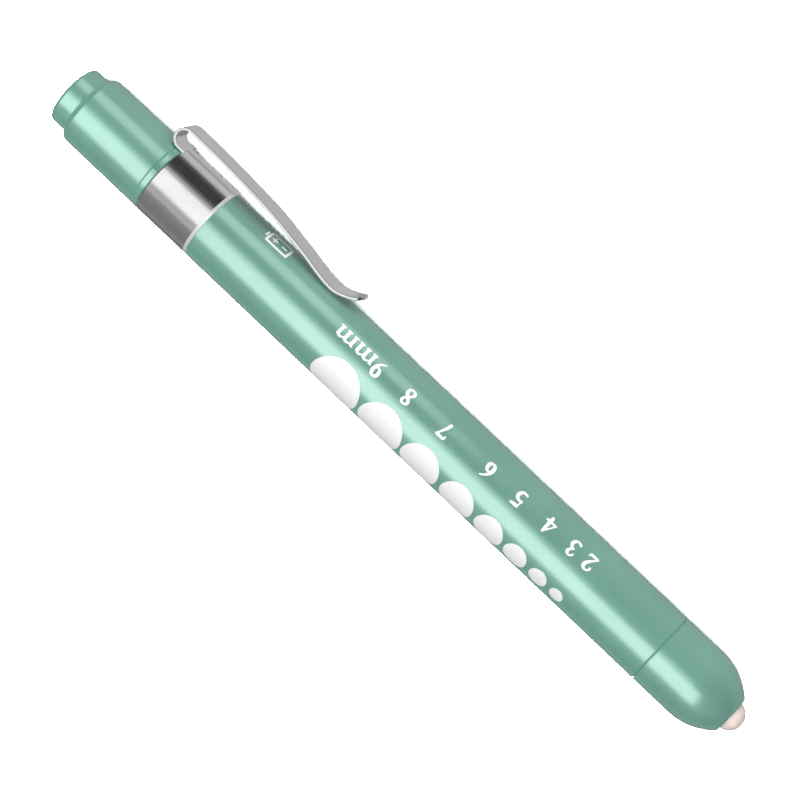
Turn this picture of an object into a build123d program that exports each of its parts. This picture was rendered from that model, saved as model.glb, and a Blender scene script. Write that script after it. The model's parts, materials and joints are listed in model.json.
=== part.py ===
"""Medical penlight with a pocket clip, a tail push switch and a pupil gauge barrel.

The pen lies on its side, resting on its barrel and on the outer edge of its pocket clip.
+X runs from the tail button to the lamp, +Z is up, and sizes are in millimetres.
A station is a distance along the pen from the face of the tail button.
"""

import math
import os

from build123d import *

os.makedirs("parts", exist_ok=True)

# ---- what goes inside: two AAA cells in line ------------------------------------------------
cell_d = 10.3
cell_len = 44.5
cell_gap = 0.10
wall = 0.65

# ---- overall sizes seen from outside ---------------------------------------------------------
bore_r = cell_d / 2 + cell_gap
body_r = bore_r + wall
button_proud = 3.4
shoulder_len = 0.95
cap_len = 14.74
collar_len = 1.06
band_len = 10.19
spigot_len = 2.15
head_cyl_len = 7.0
ogive_len = 7.0
led_proud = 2.1

# ---- clearances ------------------------------------------------------------------------------
run_gap = 0.06
snug_gap = 0.05
face_gap = 0.05
thread_gap = 0.04

# ---- tail button and its travel --------------------------------------------------------------
press_travel = 1.5
button_r = bore_r - 0.30
button_round = 0.7
button_dome = 0.3
flange_t = 0.8
lip_t = 1.4
cap_rim = 0.06

# ---- collar between the cap and the band ------------------------------------------------------
edge_round = 0.15
notch_half = 0.5
notch_depth = 0.25
notch_angle = 65

# ---- screw joint of the head -----------------------------------------------------------------
thread_pitch = 0.75
unscrew_turns = 4
unscrew_travel = thread_pitch * unscrew_turns
neck_len = unscrew_travel + 1.0
neck_r = bore_r + (wall - thread_gap) / 2

# ---- LED -------------------------------------------------------------------------------------
led_r = 2.45
led_flange_r = led_r + 0.45
led_flange_t = 1.0
led_height = 8.7
nose_land = 0.52
lead_r = 0.25
lead_offset = 1.27

# ---- clip and band ---------------------------------------------------------------------------
sheet_t = 0.5
strip_half = 2.34
curl_r = 1.77
curl_overhang = 0.81
root_r = body_r - 0.25
pad_edge_round = 4.8
pad_side_wall = 0.9
rim_len = 0.5
rim_drop = 0.15
band_rear_round = 0.18
strip_edge_round = 0.14
tip_reach = 35.35
clip_open_deg = 5.0
clip_split_deg = 5.5
clip_foot_gap = 0.06

# ---- stations along the pen ------------------------------------------------------------------
cap_start = button_proud
cap_end = cap_start + cap_len
band_start = cap_end + collar_len
band_end = band_start + band_len
rear_spigot_end = band_end + spigot_len
cells_start = rear_spigot_end + 0.2
cells_mid = cells_start + cell_len
cells_end = cells_mid + cell_len
head_start = cells_end - 1.0
neck_end = head_start + neck_len
ogive_start = head_start + head_cyl_len
nose_end = ogive_start + ogive_len
total_len = nose_end + led_proud

# ---- how the pen lies ------------------------------------------------------------------------
clip_top_r = root_r + 2 * curl_r
corner_r = math.hypot(clip_top_r, strip_half)
corner_half_angle = math.atan2(strip_half, clip_top_r)
clip_angle = corner_half_angle - math.asin(body_r / corner_r)
axis_y = -(corner_r * math.cos(clip_angle + corner_half_angle) - body_r) / 2
axis_z = body_r
across = (0, math.cos(clip_angle), math.sin(clip_angle))
sideways = (0, -math.sin(clip_angle), math.cos(clip_angle))
tail_point = (-total_len / 2, axis_y, axis_z)

# The half plane that a turned piece is drawn on: local X is the station, local Y the radius.
clip_plane = Plane(origin=tail_point, x_dir=(1, 0, 0), z_dir=sideways)
pen_axis = Axis(origin=tail_point, direction=(1, 0, 0))
side_axis = Axis(origin=tail_point, direction=sideways)


def station_plane(station):
    """Plane square to the pen at a station; its local X points out through the clip."""
    origin = (tail_point[0] + station, axis_y, axis_z)
    return Plane(origin=origin, x_dir=across, z_dir=(1, 0, 0))


def turned(points):
    """Revolve a closed outline of (station, radius) points about the pen's axis."""
    with BuildSketch(clip_plane) as outline:
        with BuildLine():
            Polyline(*points, close=True)
        make_face()
    revolve(outline.sketch, axis=pen_axis)


def disc(start, end, outer, inner=0.0):
    """Round slab or ring between two stations."""
    turned([(start, inner), (end, inner), (end, outer), (start, outer)])


def ease(outline, corners, radius):
    """Round the corners of an open sketch that lie at these (station, radius) points."""
    picked = [v for v in outline.vertices() if min(math.dist((v.X, v.Y), c) for c in corners) < 0.001]
    fillet(picked, radius=radius)


def eased_disc(start, end, outer, inner):
    """Ring between two stations with its two outer edges rounded."""
    with BuildSketch(clip_plane) as outline:
        with BuildLine():
            Polyline((start, inner), (end, inner), (end, outer), (start, outer), close=True)
        make_face()
        ease(outline, [(start, outer), (end, outer)], edge_round)
    revolve(outline.sketch, axis=pen_axis)


def coil(start, end, radius_start, radius_end, wire_r, turns):
    """Helical spring wire between two stations."""
    rise = end - start - 2 * wire_r
    cone = math.degrees(math.atan2(radius_end - radius_start, rise))
    foot = (tail_point[0] + start + wire_r, axis_y, axis_z)
    with BuildLine() as path:
        Helix(rise / turns, rise, radius_start, center=foot, direction=(1, 0, 0), cone_angle=cone)
    with BuildSketch(Plane(origin=path.line @ 0, z_dir=path.line % 0)) as wire:
        Circle(wire_r)
    sweep(wire.sketch, path=path.line, is_frenet=True)


def is_long(edge):
    """Whether an edge is much longer than the clip's sheet is thick."""
    return edge.length > 2 * sheet_t


def station_radius(point):
    """Distance of a point from the pen's axis."""
    return math.hypot(point.Y - axis_y, point.Z - axis_z)


def save(piece, label):
    """Name a finished piece and write its STEP file."""
    piece.part.label = label
    export_step(piece.part, "parts/" + label + ".step")


# ============================== tail cap and button ==========================================
lip_r = button_r + run_gap
lip_end = cap_start + lip_t
flange_start = lip_end + face_gap
flange_end = flange_start + flange_t
cap_rim_r = lip_r + cap_rim
shoulder_mid = (cap_start + shoulder_len * 0.42, cap_rim_r + (body_r - cap_rim_r) * 0.68)

with BuildPart() as tail_cap:
    with BuildSketch(clip_plane) as cap_outline:
        with BuildLine():
            ThreePointArc(
                (cap_start, cap_rim_r),
                shoulder_mid,
                (cap_start + shoulder_len, body_r),
            )
            Polyline(
                (cap_start + shoulder_len, body_r),
                (cap_end, body_r),
                (cap_end, bore_r),
                (lip_end, bore_r),
                (lip_end, lip_r),
                (cap_start, lip_r),
                (cap_start, cap_rim_r),
            )
        make_face()
        ease(cap_outline, [(cap_end, body_r)], edge_round)
    revolve(axis=pen_axis)

# Flat on the cap's front edge that the clip's root lies in, shared with the collar.
flat_start = band_start - curl_overhang - curl_r * math.sin(math.acos(1 - (body_r - root_r) / curl_r)) - 0.15
flat_r = root_r - 0.10
flat_depth = body_r - flat_r

with BuildPart() as clip_flat:
    with BuildSketch(clip_plane):
        with Locations((flat_start, flat_r)):
            Rectangle(band_start - flat_start, 2 * flat_depth, align=(Align.MIN, Align.MIN))
    extrude(amount=body_r, both=True)

with tail_cap:
    add(clip_flat.part, mode=Mode.SUBTRACT)
save(tail_cap, "tail_cap")

cup_floor = button_dome + 0.8
flange_r = bore_r - 0.07
button_wall = 0.6
with BuildPart() as push_button:
    with BuildSketch(clip_plane):
        with BuildLine():
            ThreePointArc(
                (0, 0),
                (button_dome * 0.22, (button_r - button_round) * 0.5),
                (button_dome, button_r - button_round),
            )
            ThreePointArc(
                (button_dome, button_r - button_round),
                (button_dome + button_round * 0.24, button_r - button_round * 0.34),
                (button_dome + button_round * 0.8, button_r),
            )
            Polyline(
                (button_dome + button_round * 0.8, button_r),
                (flange_start, button_r),
                (flange_start, flange_r),
                (flange_end, flange_r),
                (flange_end, button_r - button_wall),
                (cup_floor, button_r - button_wall),
                (cup_floor, 0),
                (0, 0),
            )
        make_face()
    revolve(axis=pen_axis)
save(push_button, "push_button")

# ============================== tail switch ==================================================
rod_r = 1.5
plunger_disc_t = 0.8
plunger_disc_end = cup_floor + plunger_disc_t
housing_start = flange_end + press_travel + 0.2
housing_floor = 1.0
chamber_start = housing_start + housing_floor
chamber_r = bore_r - 1.0
bridge_t = 0.3
bridge_start = chamber_start + 2.2
bridge_end = bridge_start + bridge_t
terminal_start = bridge_end + press_travel + face_gap
terminal_t = 0.3
terminal_end = terminal_start + terminal_t
spigot_r = bore_r - snug_gap
bush_bore_r = bore_r - wall
base_r = bush_bore_r - snug_gap
base_end = terminal_end + 1.7

with BuildPart() as switch_plunger:
    disc(cup_floor, plunger_disc_end, button_r - button_wall - snug_gap)
    disc(plunger_disc_end, bridge_start, rod_r)
save(switch_plunger, "switch_plunger")

bridge_r = 3.2
with BuildPart() as contact_bridge:
    disc(bridge_start, bridge_end, bridge_r)
save(contact_bridge, "contact_bridge")

with BuildPart() as switch_housing:
    disc(housing_start, chamber_start, spigot_r, rod_r + run_gap)
    disc(chamber_start, terminal_start, spigot_r, chamber_r)
save(switch_housing, "switch_housing")

return_wire_r = 0.2
return_coil_r = (rod_r + button_r - button_wall) / 2
with BuildPart() as button_return_spring:
    coil(plunger_disc_end + face_gap, housing_start - face_gap, return_coil_r, return_coil_r, return_wire_r, 4)
save(button_return_spring, "button_return_spring")

stud_r = 1.4
shank_r = 0.8
ring_inner_r = stud_r + 0.8
seat_r = bush_bore_r - 0.35
seat_end = base_end + 0.4
with BuildPart() as centre_terminal:
    disc(terminal_start, terminal_end, stud_r)
    disc(terminal_end, base_end, shank_r)
    disc(base_end, seat_end, seat_r)
save(centre_terminal, "centre_terminal")

with BuildPart() as side_terminal:
    disc(terminal_start, terminal_end, spigot_r, ring_inner_r)
save(side_terminal, "side_terminal")

with BuildPart() as switch_base:
    disc(terminal_end, base_end, base_r, shank_r)
save(switch_base, "switch_base")

spring_wire_r = 0.3
with BuildPart() as negative_spring:
    coil(
        seat_end + face_gap,
        cells_start - face_gap,
        seat_r - 2 * spring_wire_r,
        (seat_r - 2 * spring_wire_r) * 0.65,
        spring_wire_r,
        6,
    )
save(negative_spring, "negative_spring")

# ============================== bush that carries cap, band and barrel =======================
band_t = 0.4
band_seat_r = body_r - band_t - 0.02
with BuildPart() as tail_bush:
    disc(terminal_end, rear_spigot_end, spigot_r, bush_bore_r)
    eased_disc(cap_end, band_start, body_r, bush_bore_r)
    disc(band_start, band_end, band_seat_r, bush_bore_r)
    add(clip_flat.part, mode=Mode.SUBTRACT)
    with BuildSketch(station_plane(cap_end)):
        with PolarLocations(body_r, 1, start_angle=notch_angle):
            Rectangle(2 * notch_depth, 2 * notch_half)
    extrude(amount=collar_len, mode=Mode.SUBTRACT)
save(tail_bush, "tail_bush")

# ============================== clip band ====================================================
pad_r = root_r + sheet_t
pad_corner = math.hypot(pad_r, strip_half)
touch_angle = math.atan2(strip_half, pad_r) + math.acos(body_r / pad_corner)
touch_x = body_r * math.cos(touch_angle)
touch_y = body_r * math.sin(touch_angle)
pad_under_half = strip_half - pad_side_wall
curl_s = band_start - curl_overhang
curl_centre_r = root_r + curl_r
curl_inner = curl_r - sheet_t
diagonal = math.sqrt(0.5)

with BuildPart() as clip_band:
    with BuildSketch(station_plane(band_start)):
        with BuildLine():
            Polyline((0, 0), (touch_x, -touch_y), (pad_r, -strip_half))
            Polyline((pad_r, -strip_half), (pad_r, strip_half), (touch_x, touch_y), (0, 0))
        make_face()
        Circle(body_r)
        Circle(body_r - band_t, mode=Mode.SUBTRACT)
        with Locations((root_r / 2, 0)):
            Rectangle(root_r, 2 * pad_under_half, mode=Mode.SUBTRACT)
    extrude(amount=band_len)
    pad_edges = clip_band.edges().filter_by(Axis.X).filter_by(lambda e: station_radius(e.center()) > pad_corner - 0.01)
    fillet(pad_edges, radius=pad_edge_round)
    front_face = clip_band.faces().sort_by(Axis.X)[-1]
    chamfer(front_face.outer_wire().edges(), length=rim_drop, length2=rim_len, reference=front_face)
    rear_rim = clip_band.faces().sort_by(Axis.X)[0].outer_wire().edges()
    fillet(rear_rim, radius=band_rear_round)

# The strip that leaves the pad towards the tail and curls up into the arm.
with BuildPart() as clip_root:
    with BuildSketch(clip_plane):
        with BuildLine():
            Polyline(
                (curl_s, root_r),
                (band_start + 2 * band_rear_round, root_r),
                (band_start + 2 * band_rear_round, pad_r),
                (curl_s, pad_r),
            )
            ThreePointArc(
                (curl_s, pad_r),
                (curl_s - curl_inner * diagonal, curl_centre_r - curl_inner * diagonal),
                (curl_s - curl_inner, curl_centre_r),
            )
            Line((curl_s - curl_inner, curl_centre_r), (curl_s - curl_r, curl_centre_r))
            ThreePointArc(
                (curl_s - curl_r, curl_centre_r),
                (curl_s - curl_r * diagonal, curl_centre_r - curl_r * diagonal),
                (curl_s, root_r),
            )
        make_face()
    extrude(amount=strip_half, both=True)
    root_sides = clip_root.faces().sort_by(side_axis)
    fillet((root_sides[0].edges() + root_sides[-1].edges()).filter_by(is_long), radius=strip_edge_round)

with clip_band:
    add(clip_root.part)
save(clip_band, "clip_band")

# ============================== clip arm =====================================================
foot_r = body_r + sheet_t + clip_foot_gap
arm_drop = clip_top_r - foot_r
# Each pair is a share of the arm's reach and a share of its drop towards the barrel.
arm_shape = (
    (0.00, 0.00),
    (0.15, 0.03),
    (0.30, 0.11),
    (0.46, 0.24),
    (0.55, 0.38),
    (0.63, 0.53),
    (0.71, 0.69),
    (0.79, 0.89),
    (0.85, 1.00),
    (0.90, 0.97),
    (0.96, 0.66),
    (1.00, 0.28),
)
arm_top = [(curl_s + share * tip_reach, clip_top_r - drop * arm_drop) for share, drop in arm_shape]


def underside(points, thickness):
    """Points one sheet thickness below a run of (station, radius) points."""
    lower = []
    last = len(points) - 1
    for place, (station, radius) in enumerate(points):
        before = points[max(place - 1, 0)]
        after = points[min(place + 1, last)]
        run = after[0] - before[0]
        climb = after[1] - before[1]
        if place == 0:
            climb = 0
        length = math.hypot(run, climb)
        lower.append((station + thickness * climb / length, radius - thickness * run / length))
    return lower


arm_under = underside(arm_top, sheet_t)
split = math.radians(clip_split_deg)
split_x = math.cos(split)
split_y = math.sin(split)
tip_round = 1.5

with BuildPart() as clip_arm:
    with BuildSketch(clip_plane):
        with BuildLine():
            Spline(*arm_top, tangents=((1, 0), (0.5, 0.87)))
            Line(arm_top[-1], arm_under[-1])
            Spline(*arm_under, tangents=((1, 0), (0.5, 0.87)))
            ThreePointArc(
                arm_under[0],
                (curl_s - curl_inner * diagonal, curl_centre_r + curl_inner * diagonal),
                (curl_s - curl_inner * split_x, curl_centre_r + curl_inner * split_y),
            )
            Line(
                (curl_s - curl_inner * split_x, curl_centre_r + curl_inner * split_y),
                (curl_s - curl_r * split_x, curl_centre_r + curl_r * split_y),
            )
            ThreePointArc(
                (curl_s - curl_r * split_x, curl_centre_r + curl_r * split_y),
                (curl_s - curl_r * diagonal, curl_centre_r + curl_r * diagonal),
                arm_top[0],
            )
        make_face()
    extrude(amount=strip_half, both=True)
    tip_corners = clip_arm.faces().sort_by(Axis.X)[-1].edges().sort_by(SortBy.LENGTH)[:2]
    fillet(tip_corners, radius=tip_round)
    arm_sides = clip_arm.faces().sort_by(side_axis)
    fillet((arm_sides[0].edges() + arm_sides[-1].edges()).filter_by(is_long), radius=strip_edge_round)
save(clip_arm, "clip_arm")

# ============================== barrel =======================================================
with BuildPart() as barrel:
    eased_disc(band_end, head_start, body_r, bore_r)
    disc(head_start, neck_end, neck_r, bore_r)
save(barrel, "barrel")

# ============================== cells ========================================================
label_t = 0.08
can_r = cell_d / 2 - label_t
can_wall = 0.25
nub_r = cell_d * 0.185
nub_len = 1.0
cap_t = 0.3
seal_t = 1.2

for number, start in enumerate((cells_start, cells_mid), start=1):
    end = start + cell_len
    top = end - nub_len
    foot = start + cap_t
    inner_r = can_r - can_wall
    with BuildPart() as can:
        turned(
            [
                (foot, can_r),
                (top, can_r),
                (top, nub_r),
                (end, nub_r),
                (end, 0),
                (end - can_wall, 0),
                (end - can_wall, nub_r - can_wall),
                (top - can_wall, nub_r - can_wall),
                (top - can_wall, inner_r),
                (foot, inner_r),
            ]
        )
    save(can, f"cell_{number}_can")
    with BuildPart() as core:
        disc(foot + seal_t, top - can_wall, inner_r)
    save(core, f"cell_{number}_core")
    with BuildPart() as seal:
        disc(foot, foot + seal_t, inner_r)
    save(seal, f"cell_{number}_seal")
    with BuildPart() as negative_cap:
        disc(start, foot, cell_d * 0.4)
    save(negative_cap, f"cell_{number}_negative_cap")
    with BuildPart() as label:
        disc(foot + 0.2, top - 0.3, cell_d / 2, can_r)
    save(label, f"cell_{number}_label")

# ============================== lamp =========================================================
contact_start = cells_end + face_gap
contact_end = contact_start + 0.35
contact_r = lead_offset + lead_r + 0.5
ring_start = neck_end + face_gap
ring_end = ring_start + 0.25
ring_r = neck_r - 0.1
head_shoulder = ring_end + face_gap
led_base = total_len - led_height
led_flange_end = led_base + led_flange_t
nose_inside = led_flange_end + face_gap
holder_rear_r = led_flange_r + 1.2
holder_r = holder_rear_r + 0.4
bend_s = (ring_end + led_base) / 2
lead_hole_r = lead_r + 0.05
cathode_out = holder_r - lead_r - 0.02
cup_start = led_base + 1.8
cup_end = cup_start + 1.3
cup_r = 0.92
cup_floor_t = 0.8
chip_r = 0.6
chip_t = 0.35

with BuildPart() as positive_contact:
    disc(contact_start, contact_end, contact_r)
save(positive_contact, "positive_contact")

with BuildPart() as negative_ring:
    disc(ring_start, ring_end, ring_r, holder_rear_r + 0.02)
save(negative_ring, "negative_ring")

with BuildPart() as led_anode_lead:
    with BuildSketch(station_plane(contact_end)):
        with Locations((lead_offset, 0)):
            Circle(lead_r)
    extrude(amount=cup_end - 0.3 - contact_end)
save(led_anode_lead, "led_anode_lead")

with BuildPart() as led_cathode_lead:
    with BuildLine(clip_plane) as lead_path:
        FilletPolyline(
            (cup_start + 0.3, -lead_offset),
            (bend_s, -lead_offset),
            (bend_s, -cathode_out),
            (ring_end, -cathode_out),
            radius=lead_r * 1.6,
        )
    with BuildSketch(Plane(origin=lead_path.line @ 0, z_dir=lead_path.line % 0)):
        Circle(lead_r)
    sweep(path=lead_path.line)
    disc(cup_start, cup_start + cup_floor_t, cup_r)
    disc(cup_start + cup_floor_t, cup_end, cup_r, chip_r + 0.05)
    with BuildSketch(station_plane(cup_start)):
        with Locations((-lead_offset / 2, 0)):
            Rectangle(lead_offset, 2 * lead_r)
    extrude(amount=0.4)
save(led_cathode_lead, "led_cathode_lead")

with BuildPart() as led_chip:
    disc(cup_start + cup_floor_t, cup_start + cup_floor_t + chip_t, chip_r)
save(led_chip, "led_chip")

with BuildPart() as led_lens:
    with BuildSketch(clip_plane):
        with BuildLine():
            Polyline(
                (total_len, 0),
                (led_base, 0),
                (led_base, led_flange_r),
                (led_flange_end, led_flange_r),
                (led_flange_end, led_r),
                (total_len - led_r, led_r),
            )
            ThreePointArc(
                (total_len - led_r, led_r),
                (total_len - led_r + led_r * diagonal, led_r * diagonal),
                (total_len, 0),
            )
        make_face()
    revolve(axis=pen_axis)
    add(led_anode_lead.part, mode=Mode.SUBTRACT)
    add(led_cathode_lead.part, mode=Mode.SUBTRACT)
    add(led_chip.part, mode=Mode.SUBTRACT)
save(led_lens, "led_lens")

with BuildPart() as lamp_holder:
    disc(contact_end, ring_end, holder_rear_r)
    disc(ring_end, led_base, holder_r)
    disc(led_base, led_flange_end, holder_r, led_flange_r + 0.02)
    with BuildSketch(station_plane(contact_end)):
        with Locations((lead_offset, 0)):
            Circle(lead_hole_r)
    extrude(amount=led_base - contact_end, mode=Mode.SUBTRACT)
    with BuildSketch(station_plane(bend_s)):
        with Locations((-lead_offset, 0)):
            Circle(lead_hole_r)
    extrude(amount=led_base - bend_s, mode=Mode.SUBTRACT)
    slot_start = lead_offset - lead_hole_r
    slot_end = holder_r + 0.5
    with BuildSketch(station_plane(ring_end)):
        with Locations((-(slot_start + slot_end) / 2, 0)):
            Rectangle(slot_end - slot_start, 2 * lead_hole_r)
    extrude(amount=bend_s + lead_hole_r - ring_end, mode=Mode.SUBTRACT)
save(lamp_holder, "lamp_holder")

# ============================== head =========================================================
skirt_r = neck_r + thread_gap
cavity_r = holder_r + run_gap
led_hole_r = led_r + run_gap
nose_r = led_hole_r + nose_land
ogive_rise = body_r - nose_r
ogive_r = (ogive_len ** 2 + ogive_rise ** 2) / (2 * ogive_rise)
ogive_half = ogive_len / 2
ogive_mid_r = body_r - ogive_r + math.sqrt(ogive_r ** 2 - ogive_half ** 2)
head_rear = head_start + face_gap

with BuildPart() as head_shell:
    with BuildSketch(clip_plane) as head_outline:
        with BuildLine():
            Line((head_rear, body_r), (ogive_start, body_r))
            ThreePointArc(
                (ogive_start, body_r),
                (ogive_start + ogive_half, ogive_mid_r),
                (nose_end, nose_r),
            )
            Polyline(
                (nose_end, nose_r),
                (nose_end, led_hole_r),
                (nose_inside, led_hole_r),
                (nose_inside, cavity_r),
                (head_shoulder, cavity_r),
                (head_shoulder, skirt_r),
                (head_rear, skirt_r),
                (head_rear, body_r),
            )
        make_face()
        ease(head_outline, [(head_rear, body_r), (nose_end, nose_r)], edge_round)
    revolve(axis=pen_axis)
save(head_shell, "head_shell")
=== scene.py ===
"""Looks of a medical penlight: a green anodised tube with a steel pocket clip and a printed gauge.

Stations and radii are in millimetres: a station is a distance along the pen from the face of its
tail button, and a radius is taken from the pen's axis. Angles round the pen are in degrees from
the middle of the pocket clip, turning towards the gauge's row of discs.
"""

import json
import logging
import math
from collections.abc import Callable
from dataclasses import dataclass, field
from enum import Enum

import bmesh
import bpy
import numpy as np
from mathutils import Matrix, Vector


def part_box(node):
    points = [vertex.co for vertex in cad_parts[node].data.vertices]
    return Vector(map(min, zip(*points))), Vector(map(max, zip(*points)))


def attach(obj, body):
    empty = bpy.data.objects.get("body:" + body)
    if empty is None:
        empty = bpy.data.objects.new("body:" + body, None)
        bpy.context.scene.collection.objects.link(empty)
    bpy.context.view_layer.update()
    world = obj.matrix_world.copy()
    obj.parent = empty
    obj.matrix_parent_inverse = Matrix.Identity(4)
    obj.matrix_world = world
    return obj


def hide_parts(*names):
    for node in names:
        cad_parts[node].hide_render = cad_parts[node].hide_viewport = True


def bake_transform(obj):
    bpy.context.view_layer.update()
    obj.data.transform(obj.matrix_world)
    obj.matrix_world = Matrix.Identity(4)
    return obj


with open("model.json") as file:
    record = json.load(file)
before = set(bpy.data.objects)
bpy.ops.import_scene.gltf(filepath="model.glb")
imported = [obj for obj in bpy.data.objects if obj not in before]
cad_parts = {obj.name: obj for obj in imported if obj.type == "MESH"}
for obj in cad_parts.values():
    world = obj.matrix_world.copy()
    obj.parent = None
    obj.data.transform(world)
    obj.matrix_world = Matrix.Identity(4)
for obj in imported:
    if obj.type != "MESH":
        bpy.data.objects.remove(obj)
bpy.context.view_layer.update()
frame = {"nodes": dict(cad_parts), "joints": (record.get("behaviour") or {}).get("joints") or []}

MM = 0.001
log = logging.getLogger("penlight")

Outline = list[tuple[float, float]]
Triple = tuple[float, float, float]
Socket = bpy.types.NodeSocket


class Body(Enum):
    """The rigid bodies that pieces ride on."""

    BARREL = "barrel"
    BUTTON = "button"
    CLIP_ARM = "clip_arm"
    CELLS = "cells"


class Lit(Enum):
    """What a light shines on."""

    ALL = "all"
    GREEN = "green"
    STEEL = "steel"
    INK = "ink"
    FLOOR = "floor"


class Slot(Enum):
    """Names of the record's material slots."""

    GREEN = "green_anodised"
    CLIP = "clip_steel"
    SPRING = "spring_steel"


# ---- the pen's own coordinates ---------------------------------------------------------------


@dataclass(frozen=True)
class PenFrame:
    """Places points by station, radius and angle round the pen.

    Attributes:
        tail_x: Where station 0 lies along X, in metres.
        axis_y: Where the pen's axis lies across, in metres.
        axis_z: How high the pen's axis lies, in metres.
        clip_turn: The clip's direction from +Y towards +Z, in radians.
        body_r: Outer radius of the barrel, in millimetres.
        length: Length of the whole pen, in millimetres.
    """

    tail_x: float
    axis_y: float
    axis_z: float
    clip_turn: float
    body_r: float
    length: float

    @classmethod
    def from_cad(cls) -> "PenFrame":
        """Read the axis, the clip's direction and the overall size off the CAD frame.

        Returns:
            The pen's frame.
        """
        low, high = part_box("barrel")
        tail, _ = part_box("push_button")
        _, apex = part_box("led_lens")
        axis_y = (low.y + high.y) / 2
        axis_z = (low.z + high.z) / 2
        hinge = next(joint for joint in frame["joints"] if joint["name"] == "clip_flex")
        turn = math.atan2(hinge["pos_m"][2] - axis_z, hinge["pos_m"][1] - axis_y)
        return cls(tail.x, axis_y, axis_z, turn, (high.z - low.z) / 2 / MM, (apex.x - tail.x) / MM)

    def out(self, angle: float) -> Vector:
        """Unit direction away from the axis at an angle in degrees."""
        turn = self.clip_turn + math.radians(angle)
        return Vector((0.0, math.cos(turn), math.sin(turn)))

    def around(self, angle: float) -> Vector:
        """Unit direction round the pen, towards growing angles."""
        turn = self.clip_turn + math.radians(angle)
        return Vector((0.0, -math.sin(turn), math.cos(turn)))

    def point(self, station: float, radius: float, angle: float) -> Vector:
        """A point by station, radius and angle, in metres."""
        foot = Vector((self.tail_x + station * MM, self.axis_y, self.axis_z))
        return foot + self.out(angle) * (radius * MM)

    def clip_point(self, station: float, height: float, side: float) -> Vector:
        """A point by station, height over the axis along the clip's middle, and offset to the side."""
        foot = Vector((self.tail_x + station * MM, self.axis_y, self.axis_z))
        return foot + self.out(0) * (height * MM) + self.around(0) * (side * MM)

    def station_of(self, x: float) -> float:
        """The station of a place along X given in metres."""
        return (x - self.tail_x) / MM


# ---- mesh making -----------------------------------------------------------------------------


def new_piece(name: str, shape: bmesh.types.BMesh, sharp: float = 35.0) -> bpy.types.Object:
    """Turn a bmesh into a smooth-shaded object in the scene.

    Args:
        name: Name of the piece.
        shape: The mesh, freed here.
        sharp: Edges that turn by more than this many degrees stay sharp.

    Returns:
        The new object.
    """
    bmesh.ops.recalc_face_normals(shape, faces=shape.faces)
    mesh = bpy.data.meshes.new(name)
    shape.to_mesh(mesh)
    shape.free()
    for face in mesh.polygons:
        face.use_smooth = True
    mesh.set_sharp_from_angle(angle=math.radians(sharp))
    piece = bpy.data.objects.new(name, mesh)
    bpy.context.scene.collection.objects.link(piece)
    return piece


def skin(shape: bmesh.types.BMesh, rows: list[list[Vector]], ring: bool = True, caps: bool = True) -> None:
    """Join rows of points into a surface.

    Args:
        shape: The mesh that takes the faces.
        rows: Rows of the same number of points.
        ring: Whether each row closes on itself.
        caps: Whether the first and last rows are closed with a face.
    """
    made = [[shape.verts.new(point) for point in row] for row in rows]
    count = len(rows[0])
    last = count if ring else count - 1
    for here, there in zip(made, made[1:]):
        for i in range(last):
            j = (i + 1) % count
            shape.faces.new((here[i], here[j], there[j], there[i]))
    if caps:
        shape.faces.new(list(reversed(made[0])))
        shape.faces.new(made[-1])


def rounded(corners: list[Triple], steps: int = 5) -> Outline:
    """Round the corners of a closed outline.

    Args:
        corners: Corners as (x, y, radius).
        steps: Pieces that each rounded corner is drawn in.

    Returns:
        The points of the rounded outline.
    """
    points: Outline = []
    count = len(corners)
    for i, (x, y, radius) in enumerate(corners):
        before = Vector(corners[i - 1][:2]) - Vector((x, y))
        after = Vector(corners[(i + 1) % count][:2]) - Vector((x, y))
        if radius <= 0:
            points.append((x, y))
            continue
        before.normalize()
        after.normalize()
        half = before.angle(after) / 2
        reach = radius / math.tan(half)
        centre = Vector((x, y)) + (before + after).normalized() * (radius / math.sin(half))
        start = Vector((x, y)) + before * reach - centre
        sweep = math.pi - 2 * half
        way = 1 if before.x * after.y - before.y * after.x < 0 else -1
        for k in range(steps + 1):
            turn = way * sweep * k / steps
            spin = Matrix.Rotation(turn, 2)
            spot = centre + spin @ start
            points.append((spot.x, spot.y))
    return points


def smooth_path(points: list[tuple[float, ...]], steps: int) -> list[np.ndarray]:
    """Run a smooth curve through points.

    Args:
        points: Points of any dimension, all of which the curve passes.
        steps: Pieces drawn between two points.

    Returns:
        The curve's points.
    """
    ends = [np.array(p, float) for p in points]
    ends = [2 * ends[0] - ends[1]] + ends + [2 * ends[-1] - ends[-2]]
    path = []
    for a, b, c, d in zip(ends, ends[1:], ends[2:], ends[3:]):
        for k in range(steps):
            t = k / steps
            path.append(
                b
                + 0.5 * (c - a) * t
                + 0.5 * (2 * a - 5 * b + 4 * c - d) * t**2
                + 0.5 * (3 * b - a - 3 * c + d) * t**3
            )
    path.append(ends[-2])
    return path


# ---- finishes --------------------------------------------------------------------------------


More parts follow.
